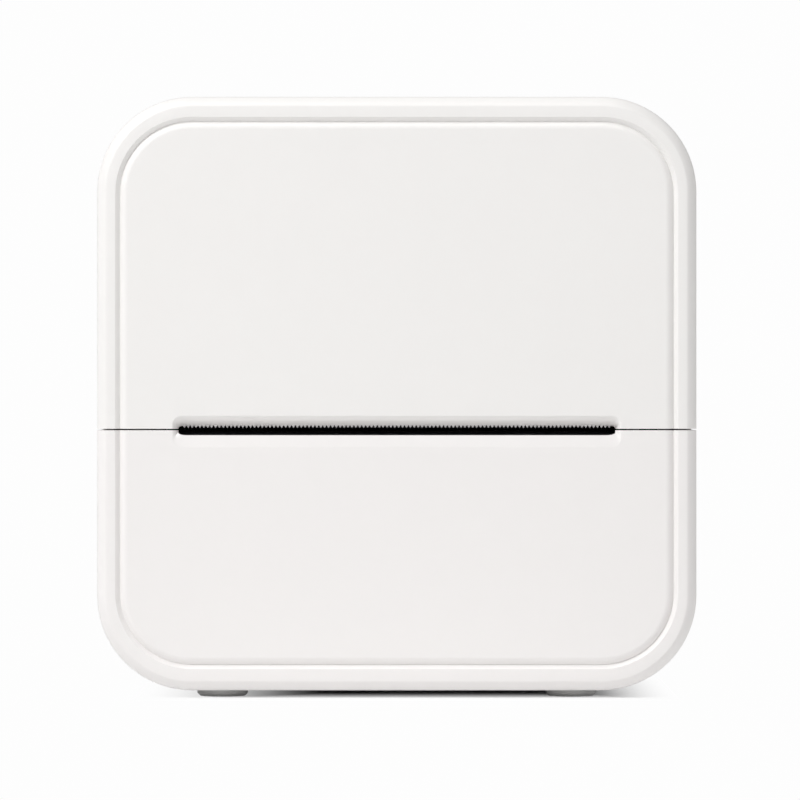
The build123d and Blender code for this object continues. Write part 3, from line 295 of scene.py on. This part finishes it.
finish_of = {
    shell_white: ["rear_housing", "lid_shell", "power_button"],
    # the lower cover takes the white with the painted warm light
    lower_white_painted_warm: ["front_lower_cover"],
    trim_white: ["tear_bar"],
    black_plastic: [
        "inner_frame", "platen_bracket", "exit_guide", "paper_sensor", "cable_socket",
        "head_socket", "power_switch", "board_chips", "usb_tongue",
    ],
    gear_plastic: ["platen_gear", "reduction_gear", "motor_pinion"],
    bush_plastic: ["platen_bushes"],
    foot_rubber: ["feet"],
    roller_rubber: ["platen_roller"],
    sheet_steel: ["mechanism_frame", "head_springs", "usb_shell", "motor_can"],
    bright_steel: ["hinge_pins", "head_pin", "platen_shaft", "motor_shaft", "gear_stud"],
    screw_zinc: [
        "gear_clip", "housing_screws", "mechanism_screws", "motor_screws", "board_screws",
        "bracket_screws",
    ],
    head_metal: ["head_heat_sink"],
    glaze: ["head_ceramic"],
    board_mask: ["main_board"],
    cable_film: ["head_cable"],
    cell_foil: ["battery_cell"],
    pad_foam: ["battery_pad"],
    clear_light: ["status_light"],
}
for finish, names in finish_of.items():
    for name in names:
        for held in node[name].material_slots:
            held.material = finish
print("finishes", len(finish_of), "on", sum(len(n) for n in finish_of.values()), "pieces")

# %% [markdown]
# ## The front block
# On the real printer the front is moulded in one curved form and split by a hair line: the
# groove and the recess run across both halves. So it is modelled as one block and split at
# the end. It could be drawn as a curve and extruded, but a cube that is bevelled twice, first
# its four long edges by 13 mm and then its front rim by 1.4 mm, gives the same clean quads
# with less work, and inset steps on the front face then carve the groove. The rim's bevel is
# almost straight, as the photograph shows by its even bright band.


# %% Helpers that pick, apply and cut
def pick_edges(piece, test):
    """Select the edges whose two ends pass a test, in edit mode."""
    bpy.ops.mesh.select_mode(type="EDGE")
    bpy.ops.mesh.select_all(action="DESELECT")
    mesh = bmesh.from_edit_mesh(piece.data)
    count = 0
    for edge in mesh.edges:
        if test(edge.verts[0].co, edge.verts[1].co):
            edge.select = True
            count += 1
    bmesh.update_edit_mesh(piece.data)
    return count


def pick_faces(piece, test):
    """Select the faces whose centre and normal pass a test, in edit mode."""
    bpy.ops.mesh.select_mode(type="FACE")
    bpy.ops.mesh.select_all(action="DESELECT")
    mesh = bmesh.from_edit_mesh(piece.data)
    for face in mesh.faces:
        if test(face.calc_center_median(), face.normal):
            face.select = True
    bmesh.update_edit_mesh(piece.data)


def finish_modifiers(piece):
    """Apply all the modifiers of a piece."""
    select_only(piece)
    for modifier in list(piece.modifiers):
        bpy.ops.object.modifier_apply(modifier=modifier.name)


def cut(piece, cutter, operation="DIFFERENCE"):
    """Cut a piece with a closed cutter, then throw the cutter away."""
    knife = piece.modifiers.new("cut", "BOOLEAN")
    knife.operation = operation
    knife.object = cutter
    knife.solver = "EXACT"
    finish_modifiers(piece)
    bpy.data.objects.remove(cutter, do_unlink=True)


def box_between(name, low, high):
    """A plain box between two corners, with its place in the mesh."""
    bpy.ops.object.select_all(action="DESELECT")
    middle = [(a + b) / 2 for a, b in zip(low, high)]
    bpy.ops.mesh.primitive_cube_add(size=1, location=middle)
    box = bpy.context.active_object
    box.name = name
    box.scale = [b - a for a, b in zip(low, high)]
    bpy.ops.object.transform_apply(location=True, rotation=True, scale=True)
    return box


def round_long_edges(piece, axis, offset, segments):
    """Bevel the edges of a box that run along an axis, and leave it in edit mode."""
    bpy.ops.object.mode_set(mode="EDIT")
    pick_edges(piece, lambda a, b: abs(a[axis] - b[axis]) > 0.0005)
    bpy.ops.mesh.bevel(offset=offset, segments=segments, profile=0.5)


print("helpers ready")

# %% The plain block of the front
body_w, body_h, body_z = 0.082, 0.0812, 0.0416
front_y, parting_front, parting_back, back_y = -0.020, -0.0061, -0.0059, 0.020
corner, rim = 0.013, 0.00142
wall, front_wall = 0.0018, 0.0022
ALONG_X, ALONG_Y = 0, 1


def add_block(name, y_from, y_to, inset=0.0):
    """A box over the body's width and height less an inset, its four corners rounded along y."""
    half_w, half_h = body_w / 2 - inset, body_h / 2 - inset
    low_y, high_y = sorted((y_from, y_to))
    block = box_between(
        name, (-half_w, low_y, body_z - half_h), (half_w, high_y, body_z + half_h)
    )
    round_long_edges(block, ALONG_Y, corner - inset, 20)
    return block


front = add_block("front_block", parting_front, front_y)
pick_edges(front, lambda a, b: a.y < front_y + 1e-5 and b.y < front_y + 1e-5)
bpy.ops.mesh.bevel(offset=rim, segments=8, profile=0.33)
print("front block", len(bmesh.from_edit_mesh(front.data).faces), "faces before the groove")

# %% [markdown]
# The groove isn't symmetrical. On the left of the photograph its outer wall is a crisp dark
# line and its inner wall is bright and fades into the panel: the panel has a pillowed edge
# that rolls down to a steeper outer wall. The section is a list of points, each the way
# inwards and the share of the full depth. Each inset step moves inwards by a little and goes
# into the face, or comes out of it, by the difference in depth of that point.

# %% Carve the groove by inset steps
pick_faces(front, lambda c, n: n.y < -0.99 and abs(c.y - front_y) < 1e-5)
side_inset, top_inset, bottom_inset = 0.00253, 0.00277, 0.00294
wall_wide, roll_wide, groove_deep = 0.00064, 0.00112, 0.00060
roll_steps, roll_power = 10, 2.2
section = [(0.00004, 0.02), (wall_wide / 2, 0.5), (wall_wide - 0.00003, 0.97), (wall_wide, 1.0)]
for step in range(1, roll_steps + 1):
    u = step / roll_steps
    section.append((wall_wide + u * roll_wide, (1 - u) ** roll_power))
bpy.ops.mesh.inset(thickness=side_inset - rim, depth=0)
half_h = body_h / 2
bpy.ops.transform.resize(
    value=(1, 1, (half_h - (top_inset + bottom_inset) / 2) / (half_h - side_inset)),
    center_override=(0, 0, body_z),
)
bpy.ops.transform.translate(value=(0, 0, (bottom_inset - top_inset) / 2))
inward_before, depth_before = 0.0, 0.0
for inward, share in section:
    bpy.ops.mesh.inset(
        thickness=inward - inward_before, depth=-(share * groove_deep - depth_before)
    )
    inward_before, depth_before = inward, share * groove_deep
bpy.ops.object.mode_set(mode="OBJECT")
print("groove carved,", len(front.data.polygons), "faces")

# %% [markdown]
# ## Walls, the split and the slot
# The block is hollowed by a smaller block with the same rounded corners. A Solidify modifier
# would be quicker, but the groove's shoulders are tighter than the wall is thick, so its
# inner skin would fold over itself. The split, the sloped recess and the slot are Boolean
# cuts as well, because they cross the groove's rings at no existing edge. The recess slopes
# down to the slot steeply from above and gently from below, so its cutter is a bar of rings
# whose depth depends on the height. The two edges of the split line are then softened by an
# eighth of a millimetre, which gives the line its bright lip.

# %% The cutter of the mouth
split_z, split_gap = 0.0367, 0.0002
slot_w, slot_up, slot_down = 0.0598, 0.00055, 0.00079
recess_w, recess_up, recess_down, recess_corner = 0.0613, 0.00192, 0.00250, 0.0012
deep_up, deep_down, slot_reach = 0.00215, 0.00025, 0.0045
rings, ring_step, past = 9, 0.0001, 0.06
edge_soft, recess_end = 0.00012, 0.0306


def mouth_cutter():
    """A closed cutter that narrows from the recess to the slot, then runs straight through.

    Its rings lie one step apart along y at first. The first ring starts a little outside the
    recess and in front of the face, and the last one is flat, behind the front wall.
    """
    height, z = recess_up + recess_down, split_z + (recess_up - recess_down) / 2
    inner_h, inner_z = slot_up + slot_down, split_z + (slot_up - slot_down) / 2
    cutter = box_between(
        "mouth", (-recess_w / 2, 0, z - height / 2), (recess_w / 2, 0.001, z + height / 2)
    )
    round_long_edges(cutter, ALONG_Y, recess_corner, 8)
    pick_edges(cutter, lambda a, b: abs(a.y - b.y) > 0.0005)
    bpy.ops.mesh.subdivide(number_cuts=rings)
    mesh = bmesh.from_edit_mesh(cutter.data)
    for vertex in mesh.verts:
        ring = round(vertex.co.y / ring_step)
        inward = min((1 + past) * ring / rings, 1 + past) - past
        upper = max(0.0, min(1.0, ((vertex.co.z - z) / (height / 2) + 1) / 1.2))
        deep = deep_down + (deep_up - deep_down) * upper ** 2
        straight = 1.0 - 0.80 * upper
        depth = deep * (straight * inward + (1 - straight) * inward * abs(inward))
        vertex.co.x *= 1 + inward * (slot_w / recess_w - 1)
        low = inner_z + (vertex.co.z - z) * inner_h / height
        vertex.co.z += inward * (low - vertex.co.z)
        vertex.co.y = front_y + (slot_reach if ring > rings else depth)
    bmesh.update_edit_mesh(cutter.data)
    bpy.ops.object.mode_set(mode="OBJECT")
    return cutter


def soften(piece, test, offset, segments=3):
    """Bevel the edges that pass a test."""
    select_only(piece)
    bpy.ops.object.mode_set(mode="EDIT")
    if pick_edges(piece, test):
        bpy.ops.mesh.bevel(offset=offset, segments=segments, profile=0.5, clamp_overlap=True)
    bpy.ops.object.mode_set(mode="OBJECT")


def on_skin(point):
    """True for a point on the outside of the front, away from the slot."""
    at_face = point.y < front_y + groove_deep + 0.0001
    return abs(point.x) > body_w / 2 - 2e-5 or (at_face and abs(point.x) > recess_end)


print("slot", round(slot_w * 1000, 1), "by", round((slot_up + slot_down) * 1000, 2), "mm")

# %% Hollow the block, split it, cut the mouth
core = add_block("core", 0.0, front_y + front_wall, wall)
bpy.ops.object.mode_set(mode="OBJECT")
cut(front, core)
halves = []
for name, z, low_z, high_z in (
    ("cover", split_z + split_gap / 2, -0.01, split_z + split_gap / 2),
    ("lower", split_z - split_gap / 2, split_z - split_gap / 2, 0.10),
):
    half = front.copy()
    half.data = front.data.copy()
    half.name = name
    bpy.context.scene.collection.objects.link(half)
    cut(half, box_between("other_half", (-0.06, -0.03, low_z), (0.06, 0.01, high_z)))
    cut(half, mouth_cutter())
    soften(
        half,
        lambda a, b: abs(a.z - z) < 1e-6 and abs(b.z - z) < 1e-6 and on_skin(a) and on_skin(b),
        edge_soft, 2,
    )
    halves.append(half)
cover, lower = halves
bpy.data.objects.remove(front, do_unlink=True)
print("cover", len(cover.data.polygons), "lower", len(lower.data.polygons), "faces")

# %% [markdown]
# ## The hinge of the cover
# Three knuckles of the cover and two of the housing share one line along the top edge. The
# cover's top wall is cut away over the housing's knuckles, and the other way round. Each
# knuckle is a cylinder. Those at the ends are trimmed to the rounded corner of the body by
# an Intersect with the plain block. They are two closed halves that are joined to the cover:
# the rear half carries on the body's outline, and the front half lies 0.3 mm inside it, since
# two skins in one place would flicker and shade in streaks.

# %% Knuckles and their clearances
hinge_at = Vector((0, -0.006, 0.0792))
hinge_r, swing_r = 0.0030, 0.0033
middle_end, side_start, side_end = 0.0087, 0.0200, 0.0368
gap_low, gap_high, end_gap = 0.0750, 0.0850, 0.0003


def knuckle(name, x_from, x_to, radius, bevel=0.0002):
    """A round bar along x on the hinge line."""
    bpy.ops.object.select_all(action="DESELECT")
    bpy.ops.mesh.primitive_cylinder_add(
        vertices=64, radius=radius, depth=abs(x_to - x_from),
        location=((x_from + x_to) / 2, hinge_at.y, hinge_at.z), rotation=(0, radians(90), 0),
    )
    bar = bpy.context.active_object
    bar.name = name
    bpy.ops.object.transform_apply(location=True, rotation=True, scale=True)
    if bevel:
        soften(bar, lambda a, b: abs(a.x - b.x) < 1e-6, bevel)
    return bar


for side in (-1, 1):
    near, far = sorted((side * middle_end, side * side_start))
    gap = box_between("gap", (near, hinge_at.y - swing_r, gap_low), (far, 0.0, gap_high))
    cut(cover, gap)
cut(cover, knuckle("cover_knuckle", -middle_end, middle_end, hinge_r), "UNION")
for x_from, x_to in ((side_start, side_end), (-side_end, -side_start)):
    for y_from, y_to, inset in ((front_y, parting_front, 0.0003), (parting_front, back_y, 0.0)):
        bar = knuckle("cover_knuckle", x_from, x_to, hinge_r)
        outline = add_block("outline", y_from, y_to, inset)
        bpy.ops.object.mode_set(mode="OBJECT")
        cut(bar, outline, "INTERSECT")
        select_only(cover)
        bar.select_set(True)
        bpy.ops.object.join()
print("cover with knuckles", len(cover.data.polygons), "faces")

# %% [markdown]
# ## The rear housing
# It is the same box with a rounder back rim. Its holes could be painted on by a finish, but
# a painted hole looks flat from the side, so they are cut: four screw wells in the back by
# round bars, and the port, the light and the button in the right wall by bars with round ends.
# Over the cover's knuckles the top wall is cut away, with a round relief for their swing.

# %% Rear housing
housing = add_block("housing", parting_back, back_y)
pick_edges(housing, lambda a, b: a.y > back_y - 1e-5 and b.y > back_y - 1e-5)
bpy.ops.mesh.bevel(offset=0.003, segments=12, profile=0.5)
bpy.ops.object.mode_set(mode="OBJECT")
core = add_block("core", -0.012, back_y - wall, wall)
pick_edges(core, lambda a, b: a.y > back_y - wall - 1e-5 and b.y > back_y - wall - 1e-5)
bpy.ops.mesh.bevel(offset=0.0012, segments=6, profile=0.5)
bpy.ops.object.mode_set(mode="OBJECT")
cut(housing, core)
print("hollow housing", len(housing.data.polygons), "faces")


# %% Wells, openings and hinge of the housing
def tube(name, x, z, radius, y_from, y_to, sides=40):
    """A round bar along y."""
    bpy.ops.object.select_all(action="DESELECT")
    bpy.ops.mesh.primitive_cylinder_add(
        vertices=sides, radius=radius, depth=abs(y_to - y_from),
        location=(x, (y_from + y_to) / 2, z), rotation=(radians(90), 0, 0),
    )
    bar = bpy.context.active_object
    bar.name = name
    bpy.ops.object.transform_apply(location=True, rotation=True, scale=True)
    return bar


def side_cutter(name, y, z, half_y, half_z, x_from=0.0385, x_to=0.0425):
    """A stadium-shaped bar along x, for the openings of the right wall."""
    bar = box_between(name, (x_from, y - half_y, z - half_z), (x_to, y + half_y, z + half_z))
    round_long_edges(bar, ALONG_X, min(half_y, half_z) * 0.999, 12)
    bpy.ops.object.mode_set(mode="OBJECT")
    return bar


tube_r, well_r, hole_r = 0.0034, 0.00245, 0.0013
screw_wells = [  # x, z, the y of the well's floor and of the tube's front end
    (-0.033, 0.009, 0.0, -0.0045), (0.033, 0.009, 0.0, -0.0045),
    (-0.034, 0.066, 0.008, 0.0030), (0.034, 0.066, 0.008, 0.0030),
]
for x, z, floor, end in screw_wells:
    cut(housing, tube("screw_tube", x, z, tube_r, end, back_y - 0.001), "UNION")
for x, z, floor, end in screw_wells:
    cut(housing, tube("well", x, z, well_r, floor, back_y + 0.001))
    cut(housing, tube("hole", x, z, hole_r, -0.008, back_y))
port_y, port_z, light_z, button_z = 0.0119, 0.0176, 0.0255, 0.0315
cut(housing, side_cutter("port", port_y, port_z, 0.0018, 0.00465))
cut(housing, side_cutter("light_hole", port_y, light_z, 0.0011, 0.0011))
cut(housing, side_cutter("button_hole", port_y, button_z, 0.0026, 0.0026))
near_end, far_end = middle_end + end_gap, side_start - end_gap
relief_y = hinge_at.y + swing_r
cut(housing, box_between("gap", (-near_end, -0.010, hinge_at.z), (near_end, relief_y, gap_high)))
for side in (-1, 1):
    near, far = sorted((side * far_end, side * (side_end + end_gap)))
    cut(housing, box_between("gap", (near, -0.010, hinge_at.z), (far, relief_y, gap_high)))
    cut(housing, knuckle("relief", near, far, swing_r, 0))
    near, far = sorted((side * near_end, side * far_end))
    cut(housing, knuckle("housing_knuckle", near, far, hinge_r, 0), "UNION")
print("housing", len(housing.data.polygons), "faces")

# %% [markdown]
# ## Inside the lower cover
# With the cover open one looks into the lower half. It carries two screw posts that reach
# back to the housing and two upright posts under the mechanism. On the real cover they are
# moulded in one with the wall, so each is united with it.

# %% Posts inside the lower cover
screw_post_r, upright_r = 0.0026, 0.0025
for side in (-1, 1):
    bar = tube("screw_post", side * 0.033, 0.009, screw_post_r, -0.0190, -0.0047, 24)
    cut(lower, bar, "UNION")
    bpy.ops.object.select_all(action="DESELECT")
    bpy.ops.mesh.primitive_cylinder_add(
        vertices=24, radius=upright_r, depth=0.0250, location=(side * 0.027, -0.011, 0.0140)
    )
    post = bpy.context.active_object
    bpy.ops.object.transform_apply(location=True, rotation=True, scale=True)
    cut(lower, post, "UNION")
print("lower cover with posts", len(lower.data.polygons), "faces")

# %% [markdown]
# ## Shading, and the change of places
# Each shell is shaded smooth below 28 degrees. The Booleans leave long thin faces around the
# mouth, whose normals would bend the shading of the flat panel, so the Weighted Normal
# modifier lets the large faces decide. Then each shell rides on the body of the plain solid
# that it replaces.

# %% Smooth shading by angle, and each shell takes the place of its plain solid
for shell, solid, body in (
    (cover, "lid_shell", "lid"),
    (lower, "front_lower_cover", "base"),
    (housing, "rear_housing", "base"),
):
    select_only(shell)
    bpy.ops.object.shade_smooth_by_angle(angle=radians(28))
    shell.name = shell.name + "_dressed"
    # the lower cover gets the white with the painted warm light, the others the plain white
    finish = lower_white_painted_warm if shell is lower else shell_white
    shell.data.materials.clear()
    shell.data.materials.append(finish)
    even = shell.modifiers.new("even_normals", "WEIGHTED_NORMAL")
    even.keep_sharp = True
    finish_modifiers(shell)
    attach(shell, body)
    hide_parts(solid)
    print(solid, len(shell.data.polygons), "faces")

# %% [markdown]
# ## The floor's white
# The photograph's background is white all over, with a shadow only close under the body.
# The paper is a diffuse white that takes the shadow. Away from the printer, on all four
# sides, it turns into a plain white of strength 1 for the camera and for reflections, so
# that no lamp has to be brighter for it and the object's own light stays as it is. The
# widths of the four ramps follow the reach of the shadow in the photograph.

# %% The floor's white
paper, tree, shader, place = new_finish("sweep_paper", (0.93, 0.93, 0.93), 0.9)
fibre = noise(tree, place, 260.0, 4.0)
tone = between(tree, fibre, (0.925, 0.925, 0.925), (0.945, 0.945, 0.945))
tree.links.new(tone, shader.inputs["Base Color"])
shader.inputs["Specular IOR Level"].default_value = 0.1


def maths(tree, operation, first, second):
    """A Math node of two values, each a number or a socket."""
    node_of_two = tree.nodes.new("ShaderNodeMath")
    node_of_two.operation = operation
    for socket, value in zip(node_of_two.inputs, (first, second)):
        if isinstance(value, (int, float)):
            socket.default_value = value
        else:
            tree.links.new(value, socket)
    return node_of_two.outputs[0]


def ramp_between(tree, value, low, high):
    """0 below low, 1 above high, smooth in between."""
    step = tree.nodes.new("ShaderNodeMapRange")
    step.interpolation_type = "SMOOTHSTEP"
    step.inputs["From Min"].default_value = low
    step.inputs["From Max"].default_value = high
    tree.links.new(value, step.inputs["Value"])
    return step.outputs["Result"]


parts = tree.nodes.new("ShaderNodeSeparateXYZ")
tree.links.new(place, parts.inputs["Vector"])
to_left = maths(tree, "MULTIPLY", parts.outputs["X"], -1.0)
to_front = maths(tree, "MULTIPLY", parts.outputs["Y"], -1.0)
away = ramp_between(tree, to_left, 0.010, 0.036)
for value, low, high in (
    (parts.outputs["X"], 0.0245, 0.0385),
    (parts.outputs["Y"], 0.0, 0.030),
    (to_front, 0.007, 0.028),
):
    away = maths(tree, "MAXIMUM", away, ramp_between(tree, value, low, high))
ray = tree.nodes.new("ShaderNodeLightPath")
seen = maths(tree, "MAXIMUM", ray.outputs["Is Camera Ray"], ray.outputs["Is Glossy Ray"])
seen = maths(tree, "MAXIMUM", seen, ray.outputs["Is Transmission Ray"])
white = tree.nodes.new("ShaderNodeEmission")
white.inputs["Color"].default_value = paper_white
white.inputs["Strength"].default_value = 1.0
blend = tree.nodes.new("ShaderNodeMixShader")
tree.links.new(maths(tree, "MULTIPLY", away, seen), blend.inputs["Fac"])
tree.links.new(shader.outputs["BSDF"], blend.inputs[1])
tree.links.new(white.outputs["Emission"], blend.inputs[2])
tree.links.new(blend.outputs["Shader"], tree.nodes["Material Output"].inputs["Surface"])
sweep.data.materials.append(paper)
print("floor finish", len(tree.nodes), "nodes")
